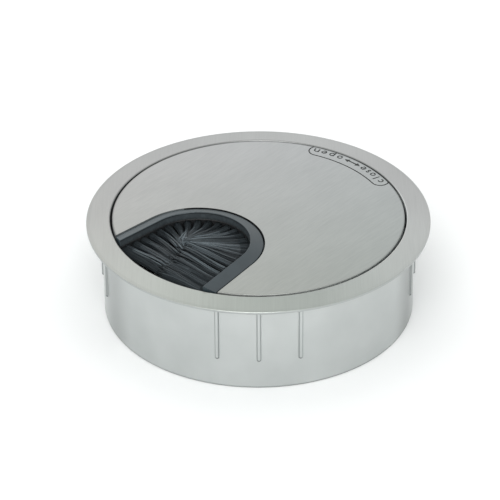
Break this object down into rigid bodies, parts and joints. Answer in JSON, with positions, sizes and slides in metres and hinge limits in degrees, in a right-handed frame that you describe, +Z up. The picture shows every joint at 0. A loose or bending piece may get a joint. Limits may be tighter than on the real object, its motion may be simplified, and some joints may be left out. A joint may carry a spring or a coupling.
{
  "type": "brush cable grommet",
  "caption": "Round metal desk grommet: flanged sleeve for a panel hole, flush turning lid with a brush-lined cable notch.",
  "frame": {"origin": "centre of the sleeve's bottom rim, on the surface it stands on", "axes": "+Z up through the lid, which turns about it; -Y faces the picture's viewer; the notch is at -X -Y"},
  "size_m": [0.0876, 0.0876, 0.0267],
  "materials": {
    "housing_metal": "satin, brushed flange",
    "lid_metal": "straight brushed satin",
    "dark_plastic": "fine satin moulded",
    "black_plastic": "matt",
    "bristle": "dull nylon filament",
    "screw_steel": "zinc plated"
  },
  "bodies": {
    "housing_body": {"housing": "housing_metal"},
    "lid_assembly": {"lid_plate": "lid_metal", "brush_carrier": "dark_plastic", "brush_backing": "black_plastic", "brush_bristles": "bristle", "brush_retainer": "dark_plastic", "retainer_screws": "screw_steel", "lid_screws": "screw_steel"}
  },
  "joints": [
    {"name": "lid_turn", "type": "hinge", "parent": "housing_body", "child": "lid_assembly", "pos_m": [0, 0, 0.0196], "axis": [0, 0, 1], "range_deg": [0, 30]}
  ]
}
